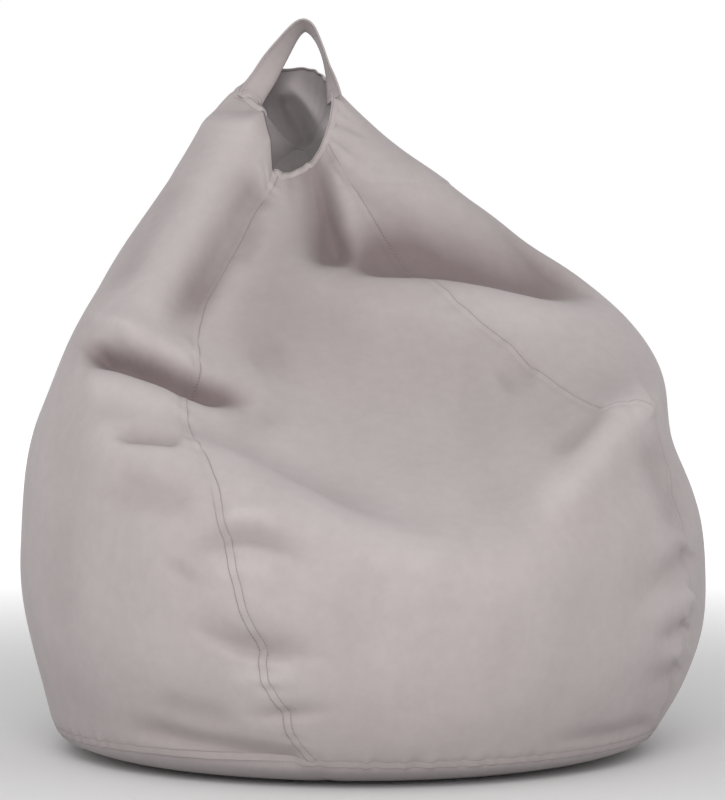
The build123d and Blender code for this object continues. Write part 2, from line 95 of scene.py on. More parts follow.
# Folds of the front, as lines in the plane X-Z seen square on from the front
# (mm at Y = 0): points, height along the normal, width above, width below,
# and how much of each end fades out.
FOLDS = [
    ([(-353, 491), (-313, 488), (-278, 479), (-243, 466), (-213, 454), (-183, 441), (-126, 426)], -32, 12.5, 15.0, 0.12, 0.4),
    ([(-338, 515), (-298, 514), (-263, 506), (-223, 492), (-186, 472)], 5, 15.0, 11.2, 0.3, 0.4),
    ([(-348, 455), (-313, 450), (-276, 440), (-241, 428), (-216, 418)], 7, 16.2, 20.0, 0.15, 0.4),
    ([(-313, 385), (-272, 381), (-221, 374)], -15, 13.8, 7.5, 0.3, 0.25),
    ([(-358, 408), (-328, 392), (-278, 380), (-228, 372), (-194, 364), (-141, 342), (-78, 312), (-3, 279), (59, 255), (134, 248)], 6.5, 18.8, 37.5, 0.1, 0.25),
    ([(-253, 395), (-194, 382), (-134, 360), (-72, 330), (3, 298), (72, 278)], -3.5, 22.5, 12.5, 0.2, 0.3),
    ([(359, 424), (337, 415), (312, 390), (278, 349), (242, 305), (197, 270)], 12, 32.5, 25.0, 0.05, 0.4),
    ([(332, 420), (347, 420), (362, 412)], 4, 17.5, 17.5, 0.2, 0.2),
    ([(304, 425), (287, 405), (262, 380), (234, 352)], -8, 15.0, 15.0, 0.25, 0.4),
    ([(357, 390), (374, 349), (392, 299), (404, 255)], -9, 17.5, 17.5, 0.25, 0.25),
    ([(-76, 742), (-56, 686), (-41, 636), (-21, 598)], -34, 18.8, 30.0, 0.12, 0.25),
    ([(-43, 608), (22, 609), (84, 609), (147, 600), (209, 586), (277, 576), (324, 565)], -33, 52.5, 21.2, 0.2, 0.3),
    ([(-13, 768), (59, 715), (134, 665), (209, 622), (284, 585)], 5, 27.5, 32.5, 0.2, 0.2),
    ([(-34, 580), (72, 582), (172, 572), (272, 555)], 5, 15.0, 50.0, 0.2, 0.2),
    ([(-153, 782), (-188, 711), (-238, 618), (-283, 540), (-308, 502)], 19, 33.8, 30.0, 0.1, 0.05),
    ([(-126, 715), (-153, 661), (-186, 602), (-221, 550), (-243, 510)], -17, 18.8, 22.5, 0.1, 0.35),
    ([(-216, 705), (-266, 630), (-313, 555)], -6, 22.5, 22.5, 0.2, 0.3),
    ([(-123, 674), (-138, 636), (-156, 599)], -6, 15.0, 15.0, 0.3, 0.3),
    ([(-176, 420), (-134, 409), (-81, 425)], -5, 18.8, 18.8, 0.4, 0.4),
    ([(169, 449), (197, 465), (222, 470)], -5, 20.0, 20.0, 0.3, 0.3),
    ([(-141, 474), (-91, 505)], -4, 27.5, 27.5, 0.3, 0.3),
    ([(-233, 222), (-216, 240), (-183, 254), (-147, 261), (-109, 254), (-78, 238), (-51, 215)], -9.5, 17.5, 11.2, 0.45, 0.5),
    ([(-197, 208), (-153, 220), (-103, 211)], 3, 15.0, 15.0, 0.3, 0.3),
    ([(-256, 235), (-238, 222), (-223, 209), (-193, 199)], -4.5, 12.5, 7.5, 0.45, 0.45),
    ([(-184, 280), (-141, 288), (-97, 280)], 5, 12.5, 15.0, 0.3, 0.3),
    ([(-226, 158), (-197, 138), (-163, 122), (-126, 112), (-78, 110), (-36, 114)], -10.5, 26.2, 7.5, 0.45, 0.45),
    ([(-172, 82), (-122, 80), (-72, 88)], 3, 15.0, 15.0, 0.3, 0.3),
    ([(-158, 42), (-126, 35), (-91, 35), (-58, 40), (-28, 48)], -5.5, 13.8, 7.5, 0.5, 0.5),
    ([(-303, 25), (-253, 11), (-203, -2), (-141, -14), (-72, -24)], -8, 16.2, 10.0, 0.25, 0.1),
    ([(-266, 55), (-203, 35), (-153, 28)], -4, 17.5, 15.0, 0.3, 0.3),
    ([(339, 172), (367, 198), (392, 220), (417, 240)], -6.5, 18.8, 11.2, 0.6, 0.05),
    ([(372, 120), (389, 138), (409, 150)], -5.5, 11.2, 7.5, 0.55, 0.05),
    ([(349, 65), (372, 80), (397, 98)], -4.5, 13.8, 8.8, 0.6, 0.05),
    ([(354, 148), (384, 170), (414, 188)], 4.5, 15.0, 15.0, 0.6, 0.05),
    ([(367, 95), (387, 109), (407, 122)], 3.5, 11.2, 8.8, 0.6, 0.05),
    ([(222, 1), (284, 6), (332, 16), (366, 30)], -5.5, 12.5, 7.5, 0.6, 0.15),
    ([(-366, 305), (-378, 230), (-376, 130)], -3, 27.5, 27.5, 0.3, 0.3),
    ([(-316, 342), (-266, 318), (-208, 305)], -4, 20.0, 17.5, 0.3, 0.3),
    ([(-341, 318), (-278, 299), (-203, 296)], -3, 17.5, 12.5, 0.3, 0.3),
    ([(-51, 730), (-22, 708), (12, 685), (47, 665)], -6, 10.0, 8.8, 0.1, 0.5),
    ([(-38, 770), (-16, 765), (12, 752)], -3, 5.0, 5.0, 0.1, 0.5),
    ([(-43, 752), (-23, 742), (-1, 728)], -3, 5.0, 5.0, 0.1, 0.5),
]

# Folds of the sides and back: (azimuth, ring) points, height, width mm, fades
BACK_FOLDS = [
    ([(96, 6.9), (108, 6.45), (124, 6.2), (138, 6.3), (150, 6.1)], -12, 15, .35, .35),
    ([(98, 7.4), (116, 6.95), (136, 6.9)], 7, 30, .35, .35),
    ([(172, 7.9), (188, 7.45), (204, 7.3), (220, 7.5)], -9, 17, .35, .4),
    ([(160, 5.1), (172, 5.35), (186, 5.35), (200, 5.15)], -6, 22, .35, .4),
    ([(222, 8.4), (234, 6.9), (243, 5.0)], -8, 20, .3, .4),
    ([(238, 8.6), (247, 7.0), (253, 5.2)], 6, 30, .3, .4),
    ([(168, 9.8), (177, 8.7), (182, 7.4)], -8, 18, .2, .4),
    ([(200, 10.4), (207, 9.2), (213, 8.0)], -7, 16, .2, .4),
    ([(140, 10.2), (134, 8.9), (130, 7.6)], -8, 16, .2, .4),
    ([(112, 10.0), (106, 8.6), (101, 7.6)], -6, 20, .2, .4),
    ([(84, 4.4), (96, 4.75), (110, 4.8)], -5, 20, .35, .35),
    ([(118, 3.6), (132, 3.35), (148, 3.5)], -5, 17, .35, .35),
    ([(88, 2.1), (104, 2.3), (122, 2.15)], -4, 17, .35, .35),
    ([(176, 2.9), (194, 2.65), (214, 2.75)], -5, 22, .35, .35),
    ([(214, 1.7), (230, 1.95), (246, 1.9)], -5, 17, .35, .35),
    ([(256, 3.5), (268, 3.75), (282, 3.7)], -5, 20, .35, .35),
    ([(258, 6.0), (271, 5.75), (285, 5.85)], -6, 20, .35, .35),
    ([(246, 10.6), (256, 9.4), (262, 8.0)], -6, 16, .2, .4),
    ([(226, 4.5), (238, 4.2), (250, 4.25)], -5, 19, .35, .35),
    ([(170, 0.55), (186, .85), (202, .7)], -5, 11, .3, .3),
    ([(96, 0.5), (108, .8), (122, .6)], -5, 11, .3, .3),
    ([(232, 0.6), (246, .85), (262, .65)], -5, 11, .3, .3),
]


def rounded(pts, rounds=2):
    """A line with its corners cut, so that a fold runs without kinks."""
    p = [tuple(map(float, q)) for q in pts]
    for _ in range(rounds):
        out = [p[0]]
        for q, r in zip(p[:-1], p[1:]):
            out.append((.75 * q[0] + .25 * r[0], .75 * q[1] + .25 * r[1]))
            out.append((.25 * q[0] + .75 * r[0], .25 * q[1] + .75 * r[1]))
        out.append(p[-1])
        p = out
    return p


BACK_FOLDS = [(rounded(pts), amp, w, t0, t1) for pts, amp, w, t0, t1 in BACK_FOLDS]
FOLDS = [(rounded(pts, 1), *rest) for pts, *rest in FOLDS]


def smooth(x, a, b):
    t = np.clip((x - a) / (b - a), 0, 1)
    return t * t * (3 - 2 * t)


def periodic_spline(xk, yk, x):
    n = len(xk)
    h = xk[1] - xk[0]
    a = np.zeros((n, n))
    for i in range(n):
        a[i, i] = 4
        a[i, (i - 1) % n] += 1
        a[i, (i + 1) % n] += 1
    rhs = 6 * (np.roll(yk, -1, 0) - 2 * yk + np.roll(yk, 1, 0)) / h ** 2
    m = np.linalg.solve(a, rhs.reshape(n, -1)).reshape(rhs.shape)
    u = ((np.asarray(x) - xk[0]) % 360) / h
    i = np.floor(u).astype(int) % n
    f = (u - np.floor(u)).reshape(u.shape + (1,) * (yk.ndim - 1))
    j = (i + 1) % n
    return ((1 - f) * yk[i] + f * yk[j]
            - h * h / 6 * (((1 - f) - (1 - f) ** 3) * m[i] + (f - f ** 3) * m[j]))


RINGS = 16
_a, _b = np.eye(RINGS), np.zeros((RINGS, RINGS))
for _i in range(1, RINGS - 1):
    _a[_i, _i - 1], _a[_i, _i], _a[_i, _i + 1] = 1, 4, 1
    _b[_i, _i - 1], _b[_i, _i], _b[_i, _i + 1] = 6, -12, 6
SPL = np.linalg.solve(_a, _b)
_keys = np.array(sorted(TABLE), float)
_tab = np.array([TABLE[int(k)] for k in _keys], float).reshape(len(_keys), -1)


def at(az, s):
    """Undisturbed point of the cover, mm, elementwise; rings -3 to 12."""
    az, s = np.broadcast_arrays(np.asarray(az, float), np.asarray(s, float))
    shape = az.shape
    az, s = az.ravel(), s.ravel()
    a = periodic_spline(_keys, _tab, az).reshape(len(az), 13, 2)
    r0 = a[:, 0, 0]
    low = np.stack([np.stack([r0 - d, np.full(len(az), z)], -1)
                    for d, z in ((92.0, 0.4), (50.0, 5.5), (17.0, 16.0))], 1)
    v = np.concatenate([low, a], 1)
    t = np.broadcast_to(np.array([0, 0, 0] + SHIFT, float)[None, :, None], (len(az), RINGS, 1))
    v = np.concatenate([v, t], -1)
    m = np.einsum("ij,njk->nik", SPL, v)
    x = np.clip(s + 3, 0, RINGS - 1)
    i = np.minimum(np.floor(x).astype(int), RINGS - 2)
    f = (x - i)[:, None]
    k = np.arange(len(az))
    q = ((1 - f) * v[k, i] + f * v[k, i + 1]
         - 1 / 6 * (((1 - f) - (1 - f) ** 3) * m[k, i] + (f - f ** 3) * m[k, i + 1]))
    p = np.radians(az)
    return np.stack([CAP_C[0] * q[:, 2] + q[:, 0] * np.sin(p),
                     CAP_C[1] * q[:, 2] - q[:, 0] * np.cos(p), q[:, 1]], -1).reshape(shape + (3,))


def base_normal(az, s):
    da = at(az + 1, s) - at(az - 1, s)
    ds = at(az, np.minimum(s + .06, 12)) - at(az, np.maximum(s - .06, -3))
    n = np.cross(da, ds)
    return n / (np.linalg.norm(n, axis=-1, keepdims=True) + 1e-12)


def along(u, v, pts):
    """Distance to a line, side (+ above), and place along it from 0 to 1."""
    p = np.array(pts, float)
    seg = np.linalg.norm(p[1:] - p[:-1], axis=1)
    cum = np.concatenate([[0], np.cumsum(seg)])
    best = np.full(u.shape, 1e9)
    side = np.zeros(u.shape)
    tt = np.zeros(u.shape)
    for k in range(len(seg)):
        d = p[k + 1] - p[k]
        w = ((u - p[k, 0]) * d[0] + (v - p[k, 1]) * d[1]) / (seg[k] ** 2)
        wc = np.clip(w, 0, 1)
        dx, dy = u - (p[k, 0] + wc * d[0]), v - (p[k, 1] + wc * d[1])
        r = np.hypot(dx, dy)
        m = r < best
        best = np.where(m, r, best)
        side = np.where(m, d[0] * dy - d[1] * dx, side)
        tt = np.where(m, (cum[k] + wc * seg[k]) / cum[-1], tt)
    if p[-1, 0] < p[0, 0]:
        side = -side
    return best, side, tt


def fold_height(r, side, t, amp, wa, wb, t0, t1):
    w = wb + (wa - wb) * smooth(side / (np.abs(side).max() + 1e-9) * 40, -1, 1)
    env = np.where(t < t0, smooth(t, -0.02, t0), 1) * np.where(t > 1 - t1, smooth(1 - t, -0.02, t1), 1)
    return amp * env * np.exp(-(r / w) ** 2)


_wave = [(rng.uniform(-1, 1, 3), rng.uniform(0, 2 * pi)) for _ in range(24)]


def undulation(p, length, k0, k1):
    """Smooth pseudo-random height between about -1 and 1."""
    h = 0
    for d, ph in _wave[k0:k1]:
        d = d / np.linalg.norm(d)
        h = h + np.sin((p @ d) * (2 * pi / length) * (1 + .35 * np.sin(ph * 7)) + ph)
    return h / math.sqrt(k1 - k0)


def seam_az(name, s):
    x, y = SEAM_LINES[name]
    return np.interp(s, x, y)


# Places where the rim of the cap is pulled: azimuth, shift in X, Y, Z
RIM_PULL = [(-180, 0, 0, 0), (-125, -2, 0, 0), (-90, -7, -2, -4), (-75, 8, -4, 6), (-60, 19, -6, 15),
            (-45, 16, -5, 2), (-30, 5, -2, -14), (-15, 1, -1, -6), (0, 3, 0, 10), (15, 4, 0, 25), (30, 1, 0, 21),
            (45, -1, 0, 12), (60, 0, 0, 9), (75, 1, 0, 6), (95, 0, 0, 0), (180, 0, 0, 0)]
ZIP_Z = (103.0, 405.0)


def height(p, az, s, n):
    """Height of folds and wrinkles over the undisturbed surface, mm."""
    y = 3000.0 + p[..., 1]
    u = p[..., 0] * 3000 / y
    v = 430 + (p[..., 2] - 430) * 3000 / y
    to = np.stack([-p[..., 0], -3000 - p[..., 1], 430 - p[..., 2]], -1)
    to /= np.linalg.norm(to, axis=-1, keepdims=True)
    facing = smooth((n * to).sum(-1), -0.02, .28)
    h = np.zeros(u.shape)
    m = facing > 0
    um, vm, hm = u[m], v[m], np.zeros(m.sum())
    for pts, amp, wa, wb, t0, t1 in FOLDS:
        q = np.array(pts)
        box = ((um > q[:, 0].min() - 90) & (um < q[:, 0].max() + 90)
               & (vm > q[:, 1].min() - 90) & (vm < q[:, 1].max() + 90))
        if not box.any():
            continue
        r, side, t = along(um[box], vm[box], pts)
        hm[box] += fold_height(r, side, t, amp, wa, wb, t0, t1)
    h[m] += hm * facing[m]
    # sides and back, measured along the cloth
    a360 = np.where(az < -60, az + 360, az)
    for pts, amp, w, t0, t1 in BACK_FOLDS:
        q = np.array(pts, float)
        box = ((a360 > q[:, 0].min() - 16) & (a360 < q[:, 0].max() + 16)
               & (s > q[:, 1].min() - 1.2) & (s < q[:, 1].max() + 1.2))
        if not box.any():
            continue
        sc = np.interp(q[:, 1].mean(), [0, 4, 8, 12], [6.6, 7.3, 4.6, 1.2])
        line = [(a * sc, b * 76) for a, b in pts]
        r, side, t = along(a360[box] * sc, s[box] * 76, line)
        env = smooth(t, -0.02, t0) * smooth(1 - t, -0.02, t1)
        h[box] += amp * env * np.exp(-(r / w) ** 2)
    body = smooth(s, .2, 1.2) * smooth(12 - s, .1, 1.5)
    h += 2.0 * undulation(p, 260, 0, 6) * body
    h += 0.8 * undulation(p, 95, 6, 12) * body
    # puckers beside the seams
    for j, name in enumerate(SEAM_LINES):
        c = seam_az(name, s)
        d = (az - c + 180) % 360 - 180
        rad = np.hypot(p[..., 0] - CAP_C[0] * np.interp(s, range(13), SHIFT),
                       p[..., 1] - CAP_C[1] * np.interp(s, range(13), SHIFT))
        dist = np.abs(np.radians(d)) * rad
        ph = j * 1.7
        sx = s * 76
        wob = (np.sin(sx / 5.2 + 1.3 * np.sin(sx / 23 + ph) + ph) + .7 * np.sin(sx / 8.3 + 2 * np.sin(sx / 41 + 2 * ph))
               + .5 * np.sin(sx / 3.1 + ph * 3))
        gate = .35 + .65 * smooth(np.sin(sx / 67 + ph * 2.3), -.3, .6)
        h += .75 * wob * gate * np.exp(-(dist / 13) ** 2) * smooth(s, 0, .4)
        h -= 1.0 * np.exp(-(dist / 9) ** 2)
    # gathers along the base seam
    arc = np.radians(az) * 375
    g = np.sin(arc / 3.7 + 1.5 * np.sin(arc / 29)) + .8 * np.sin(arc / 6.1 + 2 * np.sin(arc / 53 + 1)) + .5 * np.sin(arc / 2.3)
    gate = .3 + .7 * smooth(np.sin(arc / 83 + .6) + .4 * np.sin(arc / 31), -.4, .9)
    h += .8 * g * gate * np.exp(-((s - .05) / .33) ** 2)
    h -= 1.4 * np.exp(-((s - .02) / .16) ** 2)
    # gathers along the rim of the cap
    h += .8 * np.sin(np.radians(az) * 17 + 1.2 * np.sin(np.radians(az) * 5)) * np.exp(-((12 - s) / .5) ** 2)
    # the zip lies flat
    zc = (az - 157.6 + 180) % 360 - 180
    flat = smooth(np.abs(np.radians(zc)) * 430, 16, 46) + (1 - smooth(p[..., 2], 70, 100)) + smooth(p[..., 2], 408, 440)
    return h * np.clip(flat, 0, 1)


def skin0(az, s):
    az, s = np.broadcast_arrays(np.asarray(az, float), np.asarray(s, float))
    p = at(az, s)
    n = base_normal(az, s)
    h = height(p, az, s, n)
    q = p + n * h[..., None]
    k = np.array([r[0] for r in RIM_PULL], float)
    a = (az + 180) % 360 - 180
    w = smooth(s, 10.4, 12.0)
    for i in range(3):
        q[..., i] += w * np.interp(a, k, [r[i + 1] for r in RIM_PULL])
    # nothing reaches under the floor, and the base stands on it
    q[..., 2] = np.maximum(q[..., 2], 0.4)
    return q


def cloth(az, s, out=0.0):
    """Displaced surface and its normal, mm."""
    az, s = np.broadcast_arrays(np.asarray(az, float), np.asarray(s, float))
    p = skin0(az, s)
    da = skin0(az + .35, s) - skin0(az - .35, s)
    ds = skin0(az, np.minimum(s + .03, 12)) - skin0(az, np.maximum(s - .03, -3))
    n = np.cross(da, ds)
    n /= np.linalg.norm(n, axis=-1, keepdims=True) + 1e-12
    return p + n * out, n


# ------------------------------------------------------------- mesh helpers
def mesh_object(name, verts, faces, uv=None, smooth_shade=True, attrs=None):
    me = bpy.data.meshes.new(name)
    me.from_pydata((np.asarray(verts) / 1000.0).tolist(), [], [list(map(int, f)) for f in faces])
    me.update()
    if smooth_shade:
        me.polygons.foreach_set("use_smooth", [True] * len(me.polygons))
    if uv is not None:
        lay = me.uv_layers.new(name="UVMap")
        idx = np.empty(len(me.loops), dtype=np.int32)
        me.loops.foreach_get("vertex_index", idx)
        lay.data.foreach_set("uv", np.asarray(uv, float)[idx].ravel())
    for key, val in (attrs or {}).items():
        at_ = me.attributes.new(key, "FLOAT", "POINT")
        at_.data.foreach_set("value", np.asarray(val, float).ravel())
    ob = bpy.data.objects.new(name, me)
    bpy.context.scene.collection.objects.link(ob)
    return ob


def grid_faces(n, m, close=False, flip=False):
    i = np.arange(n if close else n - 1)[:, None]
    j = np.arange(m - 1)[None]
    i2 = (i + 1) % n
    f = np.stack([i * m + j, i2 * m + j, i2 * m + j + 1, i * m + j + 1], -1).reshape(-1, 4)
    return f[:, ::-1] if flip else f


QUALITY = 1.0
ARC = 7.0


def ring_rows(s0, s1, step):
    n = max(3, int(round((s1 - s0) / step * QUALITY)) + 1)
    return np.linspace(s0, s1, n)


def s_at_height(az, z):
    s = np.linspace(-3, 6, 181)
    h = at(np.asarray(az, float)[:, None], s[None])[..., 2]
    return np.array([np.interp(z, row, s) for row in h])


def blur(a, r0, r1):
    """Three box averages along both directions of a grid."""
    for _ in range(3):
        for ax, r in ((0, r0), (1, r1)):
            pad = [(0, 0), (0, 0)]
            pad[ax] = (r + 1, r)
            c = np.cumsum(np.pad(a, pad, mode="edge"), axis=ax)
            n_ = a.shape[ax]
            hi = np.take(c, np.arange(2 * r + 1, 2 * r + 1 + n_), axis=ax)
            lo = np.take(c, np.arange(0, n_), axis=ax)
            a = (hi - lo) / (2 * r + 1)
    return a


G_AZ = np.arange(-204.0, 205.0, 1.0)
G_S = np.linspace(0, 12, 241)
_gp = at(G_AZ[:, None], G_S[None])
_wrap = np.broadcast_to(((G_AZ + 180) % 360 - 180)[:, None], _gp.shape[:2])
_gs = np.broadcast_to(G_S[None], _gp.shape[:2])
G_H = height(_gp, _wrap, _gs, base_normal(_wrap, _gs))
# painted shade in the folds and painted highlight on the rolls, from the fold heights
G_C = np.clip((blur(G_H, 6, 12) - G_H) / 16, -.35, 1)
# painted shade in recesses (painted highlight where the strength is below zero): lines in the front plane,
# strength, reach above and below (mm)
SHADED = [
    ([(-78, 742), (-56, 692), (-41, 642), (-26, 602)], .75, 22, 26),
    ([(-22, 611), (84, 611), (197, 590), (284, 570)], .46, 78, 9),
    ([(-343, 490), (-303, 482), (-266, 475), (-216, 455), (-153, 432)], 1.08, 15, 8),
    ([(-175, 560), (-90, 556), (-20, 565), (90, 650)], .58, 105, 105),
    ([(-130, 385), (-60, 335), (122, 242)], -.36, 62, 62),
    ([(120, 455), (190, 450)], .20, 75, 75),
]
_y = 3000.0 + _gp[..., 1]
_u, _v = _gp[..., 0] * 3000 / _y, 430 + (_gp[..., 2] - 430) * 3000 / _y
_front = smooth(-base_normal(_wrap, _gs)[..., 1], -.25, .2)
for pts, gain, wa, wb in SHADED:
    r, side, t = along(_u, _v, pts)
    w = np.where(side > 0, wa, wb)
    G_C = G_C + gain * np.exp(-(r / w) ** 2) * smooth(t, -.1, .12) * smooth(1 - t, -.1, .12) * _front
# painted shade: darker towards the base
G_C = G_C + .25 * (1 - smooth(_gs, .2, 2.2))
G_C = np.clip(G_C, -.6, 1.6)


def painted_light(az, s):
    """How strongly a place is painted with shade in folds, recesses and towards the base (positive), or with highlight
    on rolls (negative).
    """
    a = ((np.asarray(az, float) + 180) % 360 - 180) - G_AZ[0]
    b = np.clip(np.asarray(s, float) / 12 * 240, 0, 239.999)
    i_, j_ = np.floor(a).astype(int), np.floor(b).astype(int)
    f_, g_ = a - i_, b - j_
    return ((G_C[i_, j_] * (1 - f_) + G_C[i_ + 1, j_] * f_) * (1 - g_)
            + (G_C[i_, j_ + 1] * (1 - f_) + G_C[i_ + 1, j_ + 1] * f_) * g_)


# ------------------------------------------------------------------- panels
ORDER = ["front_left", "front_right", "back_right", "back_left"]
PANELS = {"front_left": "front_panel", "front_right": "right_panel",
          "back_right": "back_panel", "back_left": "left_panel"}
made = {}
for k, a_name in enumerate(ORDER):
    b_name = ORDER[(k + 1) % 4]
    name = PANELS[a_name]
    base = np.linspace(0, 1, 330 if QUALITY == 1 else 170)
    s = 0.02 + (11.97 - .02) * base
    a0 = seam_az(a_name, s)
    a1 = seam_az(b_name, s) + (360 if a_name == "back_right" else 0)
    n = int((a1 - a0).max() / (.62 if QUALITY == 1 else 1.3))
    w = np.linspace(0, 1, n)[:, None]
    az = a0[None] + (a1 - a0)[None] * w
    ss = np.broadcast_to(s[None], az.shape)
    p = skin0(az, ss)
    cav = painted_light(az, ss)
    d0 = np.abs(np.radians(az - a0[None])) * 400 * np.interp(ss, [0, 4, 8, 12], [.95, 1.07, .65, .15])
    d1 = np.abs(np.radians(a1[None] - az)) * 400 * np.interp(ss, [0, 4, 8, 12], [.95, 1.07, .65, .15])
    edge = np.minimum(np.minimum(d0, d1), (ss - 0) * 76)
    uv = np.stack([np.radians(az) * .40, ss * .076], -1)
    ob = mesh_object(name + "_cloth", p.reshape(-1, 3), grid_faces(*az.shape), uv.reshape(-1, 2),
                     attrs={"edge": edge.ravel(), "painted_light": cav.ravel()})
    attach(ob, "bag")
    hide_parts(name)
    made[name] = ob

# -------------------------------------------------------------------- seams
PROFILE = [(-6.0, -1.7), (-5.6, -.25), (-5.2, .35), (-4.8, .4), (-4.4, -.1), (-4.0, .45), (-3.2, .6), (-1.5, .55),
           (0, .6), (1.5, .55), (3.2, .6), (4.0, .45), (4.4, -.1), (4.8, .4), (5.2, .3), (5.6, -.3), (6.0, -1.7)]
STITCH_ROWS = (-4.4, 4.4)
stitch_v, stitch_f, stitch_n = [], [], 0


def add_stitches(centre, side, normal, length=3.1, thick=.62, gap=1.0):
    """Thread stitches along a line of points (mm), lying on a surface."""
    global stitch_n
    seg = np.linalg.norm(np.diff(centre, axis=0), axis=1)
    cum = np.concatenate([[0], np.cumsum(seg)])
    total = cum[-1]
    count = int(total / (length + gap))
    starts = (np.arange(count) + .15) * total / count
    for frac, rad, lift in ((0, .25, -.35), (.18, .85, .12), (.5, 1.0, .3), (.82, .85, .12), (1, .25, -.35)):
        pass
    fr = np.array([0, .18, .5, .82, 1.0])
    ra = np.array([.3, .85, 1.0, .85, .3]) * thick / 2 * 1.25
    li = np.array([-.45, .05, .22, .05, -.45])
    pos = starts[:, None] + fr[None] * length
    pos = np.minimum(pos, total)
    c = np.stack([np.interp(pos, cum, centre[:, i]) for i in range(3)], -1)
    sd = np.stack([np.interp(pos, cum, side[:, i]) for i in range(3)], -1)
    nm = np.stack([np.interp(pos, cum, normal[:, i]) for i in range(3)], -1)
    ang = np.arange(5) * 2 * pi / 5
    v = (c[:, :, None] + nm[:, :, None] * (li[None, :, None, None] + ra[None, :, None, None] * np.sin(ang)[None, None, :, None])
         + sd[:, :, None] * (ra[None, :, None, None] * np.cos(ang)[None, None, :, None]))
    v = v.reshape(count, 25, 3)
    f = []
    for i in range(4):
        for j in range(5):
            f.append([i * 5 + j, i * 5 + (j + 1) % 5, (i + 1) * 5 + (j + 1) % 5, (i + 1) * 5 + j])
    f = np.array(f)
    stitch_v.append(v.reshape(-1, 3))
    stitch_f.append((f[None] + (np.arange(count) * 25)[:, None, None]).reshape(-1, 4) + stitch_n)
    stitch_n += count * 25


def unit(x):
    return x / (np.linalg.norm(x, axis=-1, keepdims=True) + 1e-12)


PLAIN = [(-6.0, -1.9), (-5.6, -1.5), (-5.2, -1.1), (-4.8, -.9), (-4.4, -.7), (-4.0, -.5), (-3.2, -.2), (-1.5, .15),
         (0, .3), (1.5, .45), (3.2, .6), (4.0, .45), (4.4, -.1), (4.8, .35), (5.2, .2), (5.6, -.4), (6.0, -1.7)]


def strip(name, centre, side, normal, cav=None, plain=0.0):
    """A felled strip with two stitched rows; where plain is 1, only one row shows."""
    pr = np.array(PROFILE)
    pl = np.broadcast_to(np.asarray(plain, float), (len(centre),))[:, None]
    lift = pr[None, :, 1] * (1 - pl) + np.array(PLAIN)[None, :, 1] * pl + .30
    v = centre[:, None] + side[:, None] * pr[None, :, :1] + normal[:, None] * lift[..., None]
    cum = np.concatenate([[0], np.cumsum(np.linalg.norm(np.diff(centre, axis=0), axis=1))])
    uv = np.stack(np.broadcast_arrays(pr[None, :, 0] / 1000, cum[:, None] / 1000), -1)
    e = np.minimum(np.abs(pr[None, :, 0] - 4.4), np.abs(pr[None, :, 0] + 4.4) + pl * 20)
    c_ = np.zeros(v.shape[:2]) if cav is None else np.broadcast_to(np.asarray(cav)[:, None], v.shape[:2])
    ob = mesh_object(name, v.reshape(-1, 3), grid_faces(v.shape[0], v.shape[1]), uv.reshape(-1, 2),
                     attrs={"edge": e.ravel(), "painted_light": c_.ravel()})
    for r in STITCH_ROWS:
        keep = np.nonzero(pl[:, 0] < .5)[0] if r < 0 else np.arange(len(centre))
        if len(keep) > 4:
            add_stitches((centre + side * r + normal * .28)[keep], side[keep], normal[keep], length=3.0, thick=.5)
    return ob


def seam_path(name, s0, s1, step=3.0):
    s = np.linspace(s0, s1, int((s1 - s0) * 76 / step * (1 if QUALITY == 1 else .6)) + 2)
    # an even path with a slightly wandering needle line
    az = seam_az(name, s)
    k = np.ones(7) / 7
    az = np.concatenate([az[:3], np.convolve(az, k, mode="valid"), az[-3:]])
    p, n = cloth(az, s)
    t = unit(np.gradient(p, axis=0))
    ker = np.ones(5) / 5
    for i in range(3):
        n[2:-2, i] = np.convolve(n[:, i], ker, mode="valid")
    n = unit(n - t * (n * t).sum(-1, keepdims=True))
    return p, unit(np.cross(t, n)), n, painted_light(az, s)


for name in ORDER:
    if name == "back_right":
        z_s = s_at_height([158.0, 158.0], ZIP_Z[0])[0], s_at_height([158.0, 158.0], ZIP_Z[1])[0]
        p, sd, n, cv = seam_path(name, z_s[1], 11.97)
        ob = strip("seam_" + name + "_felled", p, sd, n, cv)
        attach(ob, "bag"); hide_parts("seam_" + name)
        p, sd, n, cv = seam_path(name, 0.06, z_s[0])
        ob = strip("seam_back_right_foot_felled", p, sd, n, cv)
        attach(ob, "bag"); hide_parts("seam_back_right_foot")
    else:
        p, sd, n, cv = seam_path(name, 0.06, 11.97)
        along_s = np.linspace(0.06, 11.97, len(p))
        plain = {"front_right": 1.0, "front_left": smooth(along_s, 4.6, 5.2)}.get(name, 0.0)
        ob = strip("seam_" + name + "_felled", p, sd, n, cv, plain)
        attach(ob, "bag"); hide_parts("seam_" + name)

# --------------------------------------------------------------------- base
NB = 720 if QUALITY == 1 else 360
azr = np.linspace(-180, 180, NB, endpoint=False)
s = np.concatenate([np.linspace(-3, 0.05, 30)])
p = skin0(azr[:, None], s[None])
cen = np.array([0, 0, .4])
inner = [p[:, :1] * (1 - f) + cen * f for f in (.92, .6, .3, .08)]
p = np.concatenate(inner + [p], 1)
ss = np.concatenate([[-7, -6, -5, -4], s])
uv = np.stack([p[..., 0] / 1000, p[..., 1] / 1000], -1)
edge = np.broadcast_to(np.abs(ss[None] + .1) * 40 + 3, p.shape[:2])
ob = mesh_object("base_panel_cloth", p.reshape(-1, 3), grid_faces(p.shape[0], p.shape[1], close=True), uv.reshape(-1, 2),
                 attrs={"edge": edge.ravel()})
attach(ob, "bag"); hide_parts("base_panel")
made["base_panel"] = ob

p, n = cloth(azr, np.full(NB, 0.0))
p = np.concatenate([p, p[:1]]); n = np.concatenate([n, n[:1]])
t = unit(np.gradient(p, axis=0))
t[0] = t[-1] = unit(p[1] - p[-2])
n = unit(n - t * (n * t).sum(-1, keepdims=True))
# constant painted shade along the base seam
ob = strip("base_seam_felled", p, unit(np.cross(t, n)), n, np.full(len(p), .35))
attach(ob, "bag"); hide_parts("base_seam")

